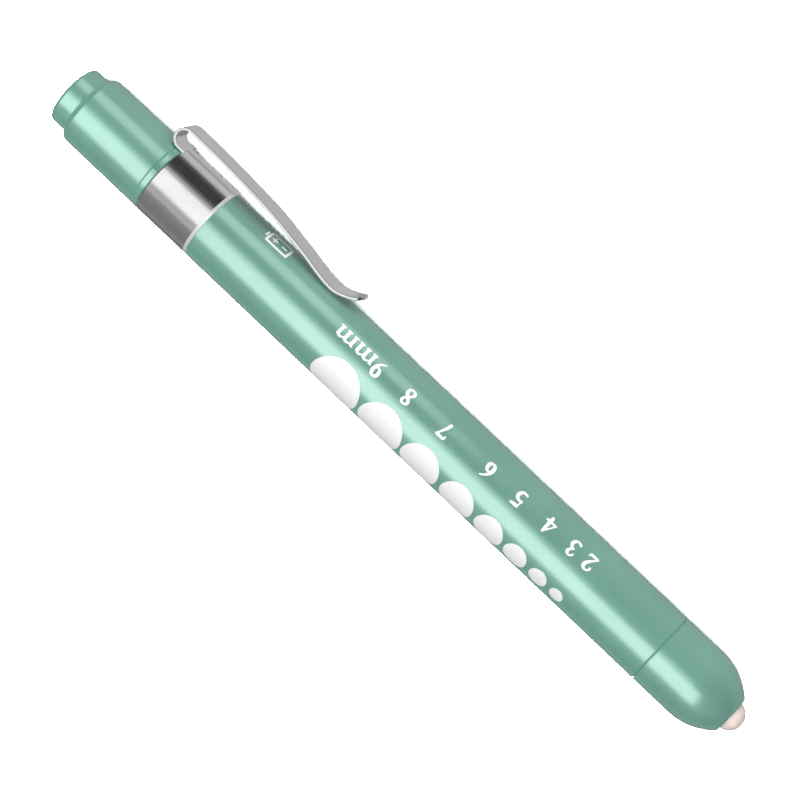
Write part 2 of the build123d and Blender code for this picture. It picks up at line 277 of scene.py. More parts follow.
class Wiring:
    """Builds one material's nodes."""

    def __init__(self, name: str) -> None:
        """Start a material with a single surface shader.

        Args:
            name: Name of the material.
        """
        self.material = bpy.data.materials.new(name)
        self.material.use_nodes = True
        self.nodes = self.material.node_tree.nodes
        self.links = self.material.node_tree.links
        self.shader = self.nodes["Principled BSDF"]
        self.place = self.nodes.new("ShaderNodeTexCoord").outputs["Object"]

    def plain(self, **values: float | tuple[float, ...]) -> None:
        """Set values straight on the shader's own sockets, named with underscores for spaces."""
        for key, value in values.items():
            self.shader.inputs[key.replace("_", " ")].default_value = value

    def stretched(self, scale: Triple) -> Socket:
        """Object coordinates scaled by axis.

        Args:
            scale: Factors along X, Y and Z.

        Returns:
            The coordinates' socket.
        """
        node = self.nodes.new("ShaderNodeMapping")
        node.inputs["Scale"].default_value = scale
        self.links.new(self.place, node.inputs["Vector"])
        return node.outputs["Vector"]

    def noise(self, scale: Triple, detail: float = 3.0, rough: float = 0.55) -> Socket:
        """Fractal noise over stretched object coordinates.

        Args:
            scale: Features per metre along X, Y and Z.
            detail: Octaves of finer detail.
            rough: Weight of the finer octaves.

        Returns:
            The noise value's socket.
        """
        node = self.nodes.new("ShaderNodeTexNoise")
        node.inputs["Scale"].default_value = 1.0
        node.inputs["Detail"].default_value = detail
        node.inputs["Roughness"].default_value = rough
        self.links.new(self.stretched(scale), node.inputs["Vector"])
        return node.outputs["Fac"]

    def ramp(self, value: Socket, stops: list[tuple[float, Triple]]) -> Socket:
        """Map a value onto colours.

        Args:
            value: The value's socket.
            stops: Pairs of place and colour.

        Returns:
            The colour's socket.
        """
        node = self.nodes.new("ShaderNodeValToRGB")
        band = node.color_ramp
        for i, (place, colour) in enumerate(stops):
            stop = band.elements[i] if i < 2 else band.elements.new(place)
            stop.position = place
            stop.color = (*colour, 1.0)
        self.links.new(value, node.inputs["Fac"])
        return node.outputs["Color"]

    def span(self, value: Socket, low: float, high: float) -> Socket:
        """Rescale a 0 to 1 value to a range.

        Args:
            value: The value's socket.
            low: Result at 0.
            high: Result at 1.

        Returns:
            The result's socket.
        """
        node = self.nodes.new("ShaderNodeMapRange")
        node.inputs["From Min"].default_value = 0.25
        node.inputs["From Max"].default_value = 0.75
        node.inputs["To Min"].default_value = low
        node.inputs["To Max"].default_value = high
        self.links.new(value, node.inputs["Value"])
        return node.outputs["Result"]

    def bump(self, heights: list[tuple[Socket, float]]) -> None:
        """Stack bumps onto the shader's normal.

        Args:
            heights: Pairs of height socket and depth in millimetres.
        """
        normal = None
        for height, depth in heights:
            node = self.nodes.new("ShaderNodeBump")
            node.inputs["Strength"].default_value = 1.0
            node.inputs["Distance"].default_value = depth * MM
            self.links.new(height, node.inputs["Height"])
            if normal is not None:
                self.links.new(normal, node.inputs["Normal"])
            normal = node.outputs["Normal"]
        self.links.new(normal, self.shader.inputs["Normal"])

    def feed(self, name: str, value: Socket) -> None:
        """Link a value to one of the shader's sockets."""
        self.links.new(value, self.shader.inputs[name])


@dataclass(frozen=True)
class Anodised:
    """Satin anodised aluminium: a dyed, faintly grained metal skin under a hard clear layer."""

    name: str = "anodised_green"
    colour: Triple = (0.352, 0.80, 0.65)
    roughness: float = 0.24
    metal: float = 0.28
    layer: float = 2.6
    grain: float = 0.0004

    def make(self) -> bpy.types.Material:
        """Build the material."""
        wiring = Wiring(self.name)
        shade = wiring.noise((90.0, 160.0, 160.0), detail=2.0)
        deep = tuple(channel * 0.94 for channel in self.colour)
        pale = tuple(min(1.0, channel * 1.05) for channel in self.colour)
        wiring.feed("Base Color", wiring.ramp(shade, [(0.3, deep), (0.7, pale)]))
        fine = wiring.noise((5200.0, 5200.0, 5200.0), detail=2.0)
        wiring.feed("Roughness", wiring.span(fine, self.roughness - 0.03, self.roughness + 0.03))
        wiring.plain(Metallic=self.metal, Specular_IOR_Level=0.2)
        wiring.plain(Coat_Weight=1.0, Coat_IOR=self.layer, Coat_Roughness=self.roughness)
        drawn = wiring.noise((700.0, 9000.0, 9000.0), detail=2.0)
        wiring.bump([(drawn, self.grain), (fine, self.grain)])
        return wiring.material


@dataclass(frozen=True)
class BrightSteel:
    """Polished stainless sheet with fine lines along one direction."""

    name: str
    colour: Triple = (0.70, 0.70, 0.70)
    roughness: float = 0.2
    metal: float = 1.0
    lines: Triple = (300.0, 9000.0, 9000.0)
    depth: float = 0.0006

    def make(self) -> bpy.types.Material:
        """Build the material."""
        wiring = Wiring(self.name)
        streak = wiring.noise(self.lines, detail=3.0)
        cloud = wiring.noise((260.0, 260.0, 260.0), detail=3.0)
        deep = tuple(channel * 0.95 for channel in self.colour)
        wiring.feed("Base Color", wiring.ramp(cloud, [(0.3, deep), (0.7, self.colour)]))
        wiring.feed("Roughness", wiring.span(streak, self.roughness - 0.03, self.roughness + 0.05))
        wiring.plain(Metallic=self.metal)
        wiring.bump([(streak, self.depth)])
        return wiring.material


@dataclass(frozen=True)
class PrintedInk:
    """Opaque white pad-printing ink with a faint unevenness."""

    name: str = "white_ink"
    colour: Triple = (0.86, 0.86, 0.86)

    def make(self) -> bpy.types.Material:
        """Build the material."""
        wiring = Wiring(self.name)
        patch = wiring.noise((900.0, 900.0, 900.0), detail=3.0)
        thin = tuple(channel * 0.975 for channel in self.colour)
        wiring.feed("Base Color", wiring.ramp(patch, [(0.3, thin), (0.6, self.colour)]))
        wiring.feed("Roughness", wiring.span(patch, 0.38, 0.5))
        wiring.bump([(wiring.noise((3500.0, 3500.0, 3500.0)), 0.0015)])
        return wiring.material


@dataclass(frozen=True)
class Moulded:
    """Moulded plastic with a fine spark texture."""

    name: str
    colour: Triple
    roughness: float = 0.5
    texture: float = 0.004

    def make(self) -> bpy.types.Material:
        """Build the material."""
        wiring = Wiring(self.name)
        cloud = wiring.noise((220.0, 220.0, 220.0), detail=2.0)
        deep = tuple(channel * 0.88 for channel in self.colour)
        wiring.feed("Base Color", wiring.ramp(cloud, [(0.25, deep), (0.75, self.colour)]))
        spark = wiring.noise((4200.0, 4200.0, 4200.0))
        wiring.feed("Roughness", wiring.span(spark, self.roughness - 0.06, self.roughness + 0.06))
        wiring.bump([(spark, self.texture)])
        return wiring.material


@dataclass(frozen=True)
class PlainMetal:
    """Turned or stamped metal for contacts, springs and cells."""

    name: str
    colour: Triple
    roughness: float = 0.28
    tarnish: float = 0.75

    def make(self) -> bpy.types.Material:
        """Build the material."""
        wiring = Wiring(self.name)
        cloud = wiring.noise((500.0, 500.0, 500.0), detail=4.0)
        dull = tuple(channel * self.tarnish for channel in self.colour)
        wiring.feed("Base Color", wiring.ramp(cloud, [(0.3, dull), (0.65, self.colour)]))
        marks = wiring.noise((1500.0, 6000.0, 6000.0))
        wiring.feed("Roughness", wiring.span(marks, self.roughness - 0.05, self.roughness + 0.08))
        wiring.plain(Metallic=1.0)
        wiring.bump([(marks, 0.0012)])
        return wiring.material


@dataclass(frozen=True)
class ClearEpoxy:
    """Slightly milky, faintly pink casting resin."""

    name: str = "led_epoxy"
    colour: Triple = (0.93, 0.80, 0.76)
    roughness: float = 0.12

    def make(self) -> bpy.types.Material:
        """Build the material."""
        wiring = Wiring(self.name)
        haze = wiring.noise((700.0, 700.0, 700.0), detail=2.0)
        milky = tuple(channel * 0.96 for channel in self.colour)
        wiring.feed("Base Color", wiring.ramp(haze, [(0.3, milky), (0.7, self.colour)]))
        wiring.plain(Transmission_Weight=0.3, IOR=1.5, Coat_Weight=0.3)
        wiring.feed("Roughness", wiring.span(haze, self.roughness - 0.04, self.roughness + 0.04))
        wiring.bump([(wiring.noise((2600.0, 2600.0, 2600.0)), 0.001)])
        return wiring.material


@dataclass(frozen=True)
class CellWrap:
    """Printed film round a cell: dark, with a pale band near one end."""

    name: str
    dark: Triple = (0.02, 0.025, 0.035)
    pale: Triple = (0.62, 0.63, 0.65)

    def make(self) -> bpy.types.Material:
        """Build the material."""
        wiring = Wiring(self.name)
        wave = wiring.nodes.new("ShaderNodeTexWave")
        wave.bands_direction = "X"
        wave.inputs["Scale"].default_value = 7.06
        wiring.links.new(wiring.place, wave.inputs["Vector"])
        wiring.feed("Base Color", wiring.ramp(wave.outputs["Fac"], [(0.90, self.dark), (0.93, self.pale)]))
        wear = wiring.noise((800.0, 800.0, 800.0))
        wiring.feed("Roughness", wiring.span(wear, 0.2, 0.34))
        wiring.bump([(wear, 0.002)])
        return wiring.material


def dress(piece: bpy.types.Object, material: bpy.types.Material) -> None:
    """Give a piece one material all over.

    Args:
        piece: The piece or CAD node.
        material: Its finish.
    """
    piece.data.materials.clear()
    piece.data.materials.append(material)
    for face in piece.data.polygons:
        face.material_index = 0


def dress_edges(
    piece: bpy.types.Object, material: bpy.types.Material, is_edge: Callable[[Vector, Vector], bool]
) -> None:
    """Give the faces on a sheet's edges a second material.

    Args:
        piece: The piece or CAD node, already dressed.
        material: The edges' finish.
        is_edge: Tells from a face's middle and normal whether it is on an edge.
    """
    piece.data.materials.append(material)
    spin = piece.matrix_world.to_3x3()
    for face in piece.data.polygons:
        if is_edge(piece.matrix_world @ face.center, (spin @ face.normal).normalized()):
            face.material_index = 1


# ---- printing --------------------------------------------------------------------------------

Stroke = list[Triple]


class Mark(Enum):
    """Marks of the print, each a list of brush strokes of (across, up, half width) in millimetres."""

    TWO = "2"
    THREE = "3"
    FOUR = "4"
    FIVE = "5"
    SIX = "6"
    SEVEN = "7"
    EIGHT = "8"
    NINE = "9"
    UNIT = "mm"
    BATTERY = "battery"

    def strokes(self) -> list[Stroke]:
        """The strokes that draw this mark, its lower left corner at (0, 0)."""
        return MARK_STROKES[self]


def letter_m(shift: float) -> list[Stroke]:
    """A slab-footed letter m.

    Args:
        shift: How far it stands to the right.

    Returns:
        Its strokes.
    """
    strokes: list[Stroke] = []
    for stem in (0.62, 1.90, 3.18):
        x = stem + shift
        strokes.append([(x, 1.48, 0.27), (x, 0.2, 0.27)])
        strokes.append([(x - 0.34, 0.12, 0.13), (x + 0.34, 0.12, 0.13)])
    strokes.append([(0.26 + shift, 1.72, 0.11), (0.62 + shift, 1.66, 0.18)])
    for stem in (0.62, 1.90):
        x = stem + shift
        arch = [(x + 0.1, 1.26, 0.1), (x + 0.52, 1.64, 0.15), (x + 0.96, 1.7, 0.2), (x + 1.26, 1.42, 0.27)]
        strokes.append(arch)
    return strokes


MARK_STROKES: dict[Mark, list[Stroke]] = {
    Mark.TWO: [
        [
            (0.34, 1.98, 0.19), (0.40, 2.30, 0.16), (0.82, 2.56, 0.14), (1.30, 2.34, 0.24),
            (1.38, 1.86, 0.27), (1.05, 1.24, 0.20), (0.62, 0.72, 0.13), (0.28, 0.30, 0.12),
        ],
        [(0.30, 0.26, 0.18), (0.90, 0.24, 0.23), (1.46, 0.24, 0.21), (1.66, 0.56, 0.11)],
    ],
    Mark.THREE: [
        [
            (0.36, 2.14, 0.15), (0.52, 2.44, 0.13), (0.94, 2.56, 0.15), (1.28, 2.24, 0.24),
            (1.14, 1.74, 0.20), (0.76, 1.46, 0.12),
        ],
        [
            (0.76, 1.46, 0.12), (1.20, 1.36, 0.20), (1.46, 0.88, 0.27), (1.22, 0.34, 0.22),
            (0.80, 0.15, 0.15), (0.36, 0.34, 0.20),
        ],
    ],
    Mark.FOUR: [
        [(1.20, 2.52, 0.18), (1.20, 1.30, 0.26), (1.20, 0.18, 0.26)],
        [(1.16, 2.50, 0.14), (0.66, 1.72, 0.11), (0.18, 0.86, 0.12)],
        [(0.18, 0.80, 0.17), (1.00, 0.80, 0.17), (1.72, 0.80, 0.17)],
    ],
    Mark.FIVE: [
        [(0.54, 2.42, 0.22), (1.00, 2.42, 0.24), (1.56, 2.50, 0.17)],
        [(0.52, 2.36, 0.12), (0.44, 1.90, 0.12), (0.38, 1.46, 0.13)],
        [
            (0.40, 1.46, 0.13), (0.86, 1.60, 0.18), (1.34, 1.30, 0.26), (1.40, 0.74, 0.27),
            (1.02, 0.24, 0.20), (0.40, 0.26, 0.20),
        ],
    ],
    Mark.SIX: [
        [
            (1.50, 2.60, 0.09), (0.94, 2.24, 0.15), (0.50, 1.62, 0.24), (0.38, 0.94, 0.28),
            (0.56, 0.36, 0.24), (0.94, 0.14, 0.15),
        ],
        [
            (0.94, 0.14, 0.15), (1.34, 0.42, 0.25), (1.40, 0.86, 0.27), (1.22, 1.36, 0.22),
            (0.86, 1.52, 0.13), (0.50, 1.24, 0.11),
        ],
    ],
    Mark.SEVEN: [
        [(0.24, 1.98, 0.10), (0.34, 2.40, 0.19), (0.90, 2.42, 0.22), (1.56, 2.42, 0.20)],
        [(1.56, 2.40, 0.13), (1.20, 1.66, 0.17), (0.88, 0.86, 0.22), (0.74, 0.22, 0.24)],
    ],
    Mark.EIGHT: [
        [
            (0.92, 2.56, 0.14), (0.48, 2.34, 0.21), (0.44, 1.92, 0.24), (0.84, 1.50, 0.25),
            (1.30, 1.10, 0.26), (1.44, 0.66, 0.24), (1.32, 0.32, 0.20), (0.92, 0.14, 0.14),
        ],
        [
            (0.92, 0.14, 0.14), (0.48, 0.34, 0.22), (0.42, 0.76, 0.23), (0.72, 1.22, 0.15),
            (1.14, 1.62, 0.15), (1.36, 2.02, 0.21), (1.28, 2.38, 0.20), (0.92, 2.56, 0.14),
        ],
    ],
    Mark.NINE: [
        [
            (0.30, 0.10, 0.09), (0.86, 0.46, 0.15), (1.30, 1.08, 0.24), (1.42, 1.76, 0.28),
            (1.24, 2.34, 0.24), (0.86, 2.56, 0.15),
        ],
        [
            (0.86, 2.56, 0.15), (0.46, 2.28, 0.25), (0.40, 1.84, 0.27), (0.58, 1.34, 0.22),
            (0.94, 1.18, 0.13), (1.30, 1.46, 0.11),
        ],
    ],
    Mark.UNIT: letter_m(0.0) + letter_m(3.76),
    Mark.BATTERY: [
        [(0.2, 0.2, 0.2), (4.1, 0.2, 0.2)],
        [(4.1, 0.2, 0.2), (4.1, 2.5, 0.2)],
        [(4.1, 2.5, 0.2), (0.2, 2.5, 0.2)],
        [(0.2, 2.5, 0.2), (0.2, 0.2, 0.2)],
        [(4.62, 0.95, 0.2), (4.62, 1.75, 0.2)],
        [(2.6, 1.35, 0.15), (3.5, 1.35, 0.15)],
        [(3.05, 0.9, 0.15), (3.05, 1.8, 0.15)],
        [(0.85, 1.35, 0.15), (1.6, 1.35, 0.15)],
    ],
}


@dataclass
class FlatShape:
    """A flat figure of points and faces, in millimetres."""

    points: list[tuple[float, float]]
    faces: list[tuple[int, ...]]

    @classmethod
    def disc(cls, diameter: float, rings: int = 8, segments: int = 72) -> "FlatShape":
        """A round figure about (0, 0).

        Args:
            diameter: Its diameter.
            rings: Steps from the middle outwards.
            segments: Steps round the rim.

        Returns:
            The figure.
        """
        points = [(0.0, 0.0)]
        for ring in range(1, rings + 1):
            radius = diameter / 2 * ring / rings
            for k in range(segments):
                turn = math.tau * k / segments
                points.append((radius * math.cos(turn), radius * math.sin(turn)))
        faces: list[tuple[int, ...]] = [(0, 1 + k, 1 + (k + 1) % segments) for k in range(segments)]
        for ring in range(rings - 1):
            start = 1 + ring * segments
            for k in range(segments):
                j = (k + 1) % segments
                faces.append((start + k, start + segments + k, start + segments + j, start + j))
        return cls(points, faces)

    def grown(self, factor: float) -> "FlatShape":
        """The same figure drawn larger by a factor."""
        return FlatShape([(x * factor, y * factor) for x, y in self.points], self.faces)

    @classmethod
    def brushed(cls, strokes: list[Stroke], pitch: float = 0.05) -> "FlatShape":
        """The figure that a set of brush strokes covers.

        Args:
            strokes: The strokes, each smoothly curved.
            pitch: Size of the grid that the figure is cut on.

        Returns:
            The figure.
        """
        lines = [smooth_path(list(stroke), 6 if len(stroke) > 2 else 1) for stroke in strokes]
        every = np.concatenate([np.array(line) for line in lines])
        low = (every[:, :2] - every[:, 2:]).min(axis=0) - 2 * pitch
        high = (every[:, :2] + every[:, 2:]).max(axis=0) + 2 * pitch
        columns = np.arange(low[0], high[0], pitch)
        rows = np.arange(low[1], high[1], pitch)
        grid = np.stack(np.meshgrid(columns, rows, indexing="ij"), axis=-1)
        depth = np.full(grid.shape[:2], 1e9)
        for line in lines:
            for a, b in zip(line, line[1:]):
                run = b[:2] - a[:2]
                share = np.clip(((grid - a[:2]) @ run) / max(run @ run, 1e-12), 0, 1)
                gap = np.linalg.norm(grid - a[:2] - share[..., None] * run, axis=-1)
                depth = np.minimum(depth, gap - (a[2] + (b[2] - a[2]) * share))
        return cls.inside(grid, depth)

    @classmethod
    def inside(cls, grid: np.ndarray, depth: np.ndarray) -> "FlatShape":
        """The figure where a field over a grid is below zero.

        Args:
            grid: Points of the grid.
            depth: The field's values at the grid's points.

        Returns:
            The figure.
        """
        points: list[tuple[float, float]] = []
        known: dict[tuple, int] = {}

        def number(key: tuple, spot: np.ndarray) -> int:
            """The index of a point, made once for each key."""
            if key not in known:
                known[key] = len(points)
                points.append((float(spot[0]), float(spot[1])))
            return known[key]

        faces = []
        for i in range(grid.shape[0] - 1):
            for j in range(grid.shape[1] - 1):
                corners = [(i, j), (i + 1, j), (i + 1, j + 1), (i, j + 1)]
                if min(depth[c] for c in corners) >= 0:
                    continue
                face = []
                for here, there in zip(corners, corners[1:] + corners[:1]):
                    if depth[here] < 0:
                        face.append(number((here,), grid[here]))
                    if (depth[here] < 0) != (depth[there] < 0):
                        first, second = sorted((here, there))
                        share = depth[first] / (depth[first] - depth[second])
                        spot = grid[first] + (grid[second] - grid[first]) * share
                        face.append(number((first, second), spot))
                faces.append(tuple(face))
        return cls(points, faces)


@dataclass
class Gauge:
    """The print along the barrel: a row of discs from 9 to 2 mm, their numerals and a pictogram.

    Attributes:
        discs: Printed diameter and middle station of each disc, by its nominal diameter.
        numerals: Middle station of each numeral, by the same.
        disc_angle: Where the discs' row lies round the pen.
        numeral_angle: Where the first numeral's feet stand round the pen.
        drift: How far the numerals' feet turn back over each millimetre, in degrees.
        digit_width: Width of a numeral.
        growth: How much larger the numerals print than they are drawn.
        unit_start: Station where the unit starts.
        pictogram_start: Station where the pictogram starts.
        pictogram_angle: Where the pictogram's foot lies round the pen.
        ink: Thickness of the ink over the barrel.
        bite: How far the ink sits below the barrel's surface.
    """

    discs: dict[int, tuple[float, float]] = field(
        default_factory=lambda: {
            9: (9.0, 59.26),
            8: (8.05, 68.36),
            7: (7.05, 76.34),
            6: (6.15, 83.78),
            5: (5.2, 90.2),
            4: (4.15, 95.5),
            3: (3.15, 100.04),
            2: (2.35, 103.7),
        }
    )
    numerals: dict[int, float] = field(
        default_factory=lambda: {
            9: 62.7,
            8: 68.72,
            7: 75.95,
            6: 84.46,
            5: 90.54,
            4: 96.3,
            3: 101.0,
            2: 104.14,
        }
    )
    disc_angle: float = 124.2
    numeral_angle: float = 44.6
    drift: float = 0.175
    digit_width: float = 1.9
    growth: float = 1.04
    unit_start: float = 61.75
    pictogram_start: float = 41.5
    pictogram_angle: float = 5.0
    ink: float = 0.02
    bite: float = 0.05

    def wrap(
        self,
        pen: PenFrame,
        shape: bmesh.types.BMesh,
        figure: FlatShape,
        station: float,
        angle: float,
        way: int,
    ) -> None:
        """Lay a flat figure onto the barrel as a thin solid.

        Args:
            pen: The pen's frame.
            shape: The mesh that takes it.
            figure: The flat figure.
            station: Station of the figure's origin.
            angle: Angle of the figure's origin.
            way: 1 if the figure runs towards the lamp, -1 if it runs towards the button.
        """
        radius = pen.body_r
        layers = []
        for level in (radius + self.ink, radius - self.bite):
            layers.append(
                [
                    shape.verts.new(pen.point(station + way * x, level, angle + math.degrees(y / radius)))
                    for x, y in figure.points
                ]
            )
        top, bottom = layers
        sides: dict[tuple[int, int], int] = {}
        for face in figure.faces:
            shape.faces.new([top[i] for i in face])
            shape.faces.new([bottom[i] for i in reversed(face)])
            for a, b in zip(face, face[1:] + face[:1]):
                sides[(a, b)] = 1
        for a, b in sides:
            if (b, a) not in sides:
                shape.faces.new((top[b], top[a], bottom[a], bottom[b]))

    def build(self, pen: PenFrame, finish: bpy.types.Material) -> bpy.types.Object:
        """Print the gauge onto the barrel.

        Args:
            pen: The pen's frame.
            finish: The ink.

        Returns:
            The print.
        """
        shape = bmesh.new()
        for diameter, station in self.discs.values():
            self.wrap(pen, shape, FlatShape.disc(diameter), station, self.disc_angle, 1)
        start = self.numerals[9]
        for nominal, station in self.numerals.items():
            figure = FlatShape.brushed(Mark(str(nominal)).strokes()).grown(self.growth)
            foot = self.numeral_angle - self.drift * (station - start)
            self.wrap(pen, shape, figure, station + self.digit_width / 2, foot, -1)
        unit = FlatShape.brushed(Mark.UNIT.strokes())
        self.wrap(pen, shape, unit, self.unit_start, self.numeral_angle, -1)
        battery = FlatShape.brushed(Mark.BATTERY.strokes())
        self.wrap(pen, shape, battery, self.pictogram_start, self.pictogram_angle, -1)
        piece = new_piece("gauge_print", shape)
        dress(piece, finish)
        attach(piece, Body.BARREL.value)
        return piece


# ---- barrel ----------------------------------------------------------------------------------


@dataclass
class Barrel:
    """The anodised tube with its threaded neck, hidden in the head until the head is unscrewed.

    Attributes:
        wall: Thickness of the tube.
        neck_drop: How far the neck lies below the tube's surface.
        ease: Radius of the tube's rounded rear edge.
        seam_ease: Radius of its rounded edge at the head.
        pitch: Pitch of the neck's thread.
        groove: Depth of the thread.
        relief: Plain length at each end of the neck.
        segments: Steps round the tube.
    """

    wall: float = 0.65
    neck_drop: float = 0.345
    ease: float = 0.15
    seam_ease: float = 0.28
    pitch: float = 0.75
    groove: float = 0.16
    relief: float = 0.35
    segments: int = 144

    def thread(self, station: float, angle: float) -> float:
        """Depth of the thread's groove.

        Args:
            station: Where along the neck.
            angle: Where round the neck, in degrees.

        Returns:
            Depth in millimetres.
        """
        phase = (station / self.pitch - angle / 360) % 1
        return self.groove * min(1.0, max(0.0, 1.5 - abs(phase - 0.5) * 4))

    def build(self, pen: PenFrame, finish: bpy.types.Material) -> bpy.types.Object:
        """Turn the barrel and cut its thread.

        Args:
            pen: The pen's frame.
            finish: The anodised skin.

        Returns:
            The barrel.
        """
        low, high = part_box("barrel")
        head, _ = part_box("head_shell")
        start, neck_end = pen.station_of(low.x), pen.station_of(high.x)
        seam = pen.station_of(head.x) - 0.05
        outer, neck = pen.body_r, pen.body_r - self.neck_drop
        bore = outer - self.wall
        corners = [
            (start, bore, 0.05),
            (start, outer, self.ease),
            (seam, outer, self.seam_ease),
            (seam, neck, 0.0),
        ]
        outline = rounded(corners + [(neck_end, neck, 0.0), (neck_end, bore, 0.05)])
        shoulder = outline.index((seam, neck))
        first, last = seam + self.relief, neck_end - self.relief
        count = round((last - first) / self.pitch * 14)
        thread_rows = [first + (last - first) * k / count for k in range(count + 1)]
        rows = [self.row(pen, station, radius, 0.0) for station, radius in outline[: shoulder + 1]]
        for station in thread_rows:
            fade = min(1.0, (station - first) / 0.25, (last - station) / 0.25)
            rows.append(self.row(pen, station, neck, fade))
        rows.append(self.row(pen, neck_end - 0.12, neck, 0.0))
        rows.append(self.row(pen, neck_end, neck - 0.12, 0.0))
        rows += [self.row(pen, station, radius, 0.0) for station, radius in outline[shoulder + 2 :]]
        shape = bmesh.new()
        skin(shape, rows + [rows[0]], caps=False)
        bmesh.ops.remove_doubles(shape, verts=shape.verts, dist=1e-7)
        piece = new_piece("anodised_barrel", shape)
        dress(piece, finish)
        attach(piece, Body.BARREL.value)
        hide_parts("barrel")
        return piece

    def row(self, pen: PenFrame, station: float, radius: float, fade: float) -> list[Vector]:
        """One ring of points, sunk into the thread by its fade from 0 to 1."""
        angles = [360 * k / self.segments for k in range(self.segments)]
        return [pen.point(station, radius - fade * self.thread(station, angle), angle) for angle in angles]


# ---- pocket clip -----------------------------------------------------------------------------


@dataclass
class ClipStrip:
    """The springy arm of the pocket clip, from the top of its curl to its lifted tip.

    Attributes:
        sheet: Thickness of the steel.
        half: Half the strip's width.
        edge: Radius of the strip's rounded long edges.
        curl: Outer radius of the curl.
        root: Radius at which the strip leaves the band.
        reach: Length of the arm from the curl to the tip.
        foot_gap: Gap between the foot and the barrel.
        tip: Radius of the tip's corners.
        shape: Shares of the reach and of the drop towards the barrel.
    """

    sheet: float = 0.5
    half: float = 2.34
    edge: float = 0.14
    curl: float = 1.77
    root: float = 5.65
    reach: float = 35.35
    foot_gap: float = 0.06
    tip: float = 1.5
    shape: list[tuple[float, float]] = field(
        default_factory=lambda: [
            (0.00, 0.00),
            (0.15, 0.03),
            (0.30, 0.11),
            (0.46, 0.24),
            (0.55, 0.38),
            (0.63, 0.53),
            (0.71, 0.69),
            (0.79, 0.89),
            (0.85, 1.00),
            (0.90, 0.97),
            (0.96, 0.66),
            (1.00, 0.28),
        ]
    )

    def centre(self, pen: PenFrame) -> tuple[float, float]:
        """Station and height of the curl's middle."""
        low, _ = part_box("clip_band")
        return pen.station_of(low.x) + self.curl, self.root + self.curl

    def path(self, pen: PenFrame) -> list[np.ndarray]:
        """The strip's outer face as (station, height) points, from the curl's middle to the tip."""
        station, height = self.centre(pen)
        arc = []
        for k in range(24):
            turn = math.pi - math.pi / 2 * k / 24
            arc.append(np.array((station + self.curl * math.cos(turn), height + self.curl * math.sin(turn))))
        top = height + self.curl
        drop = top - (pen.body_r + self.sheet + self.foot_gap)
        arm = [(station + along * self.reach, top - down * drop) for along, down in self.shape]
        return arc + smooth_path(arm, 12)

    def section(self, half: float) -> Outline:
        """The strip's section as (side, depth) points."""
        edge = min(self.edge, half / 2)
        corners = [(-half, 0.0, edge), (half, 0.0, edge), (half, self.sheet, edge), (-half, self.sheet, edge)]
        outline = rounded(corners, steps=4)
        wide = []
        for a, b in zip(outline, outline[1:] + outline[:1]):
            wide.append(a)
            if abs(b[0] - a[0]) > half:
                wide += [(a[0] + (b[0] - a[0]) * k / 6, a[1]) for k in range(1, 6)]
        return wide

    def build(
        self, pen: PenFrame, finish: bpy.types.Material, edge: bpy.types.Material
    ) -> bpy.types.Object:
        """Bend the strip.

        Args:
            pen: The pen's frame.
            finish: The strip's steel.
            edge: Its sheared edges, in a near-white steel that is a painted highlight.

        Returns:
            The strip.
        """
        path = self.path(pen)
        lengths = np.cumsum([0.0] + [float(np.linalg.norm(b - a)) for a, b in zip(path, path[1:])])
        rows = []
        for i, (station, height) in enumerate(path):
            run = path[min(i + 1, len(path) - 1)] - path[max(i - 1, 0)]
            if i == 0:
                run = np.array((0.0, 1.0))
            run = run / np.linalg.norm(run)
            left = max(lengths[-1] - lengths[i], 0.0)
            half = self.half
            if left < self.tip:
                half -= self.tip - math.sqrt(self.tip**2 - (self.tip - left) ** 2)
            row = []
            for side, depth in self.section(half):
                row.append(pen.clip_point(station + depth * run[1], height - depth * run[0], side))
            rows.append(row)
        shape = bmesh.new()
        skin(shape, rows)
        piece = new_piece("clip_strip", shape)
        dress(piece, finish)
        # The strip's long edges get the near-white steel, a painted highlight.
        dress_edges(piece, edge, lambda _, normal: abs(normal.dot(pen.around(0))) > 0.85)
        station, height = self.centre(pen)
        start = pen.clip_point(station - self.curl, height, 0)
        end = pen.clip_point(station, height, 0)
        piece.visible_glossy = False
        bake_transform(piece)
        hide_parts("clip_arm")
        return piece


@dataclass
class ClipBand:
    """The band that holds the clip: it keeps its CAD shape, and its rim and the sides of the clip's root get
    a near-white steel that is a painted highlight.

    Attributes:
        rim: Length of the sloped rim at the band's front.
        root: How far the clip's root reaches behind the band.
    """

    rim: float = 0.5
    root: float = 2.58

    def build(
        self, pen: PenFrame, finish: bpy.types.Material, edge: bpy.types.Material
    ) -> bpy.types.Object:
        """Dress the band.

        Args:
            pen: The pen's frame.
            finish: The band's steel.
            edge: Its rim and the sheared edges of the clip's root, in a near-white steel that is a painted
                highlight.

        Returns:
            The CAD node.
        """
        low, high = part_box("clip_band")
        root_end = low.x + self.root * MM
        rim_start = high.x - (self.rim + 0.02) * MM
        side = pen.around(0)

        def is_edge(middle: Vector, normal: Vector) -> bool:
            """Whether a face is on the rim or on a side of the root."""
            if middle.x < root_end:
                return abs(normal.dot(side)) > 0.85
            return middle.x > rim_start and normal.x > 0.15

        node = frame["nodes"]["clip_band"]
        dress(node, finish)
        # The rim and the root's sides get the near-white steel, a painted highlight.
        dress_edges(node, edge, is_edge)
        return node


# ---- springs ---------------------------------------------------------------------------------


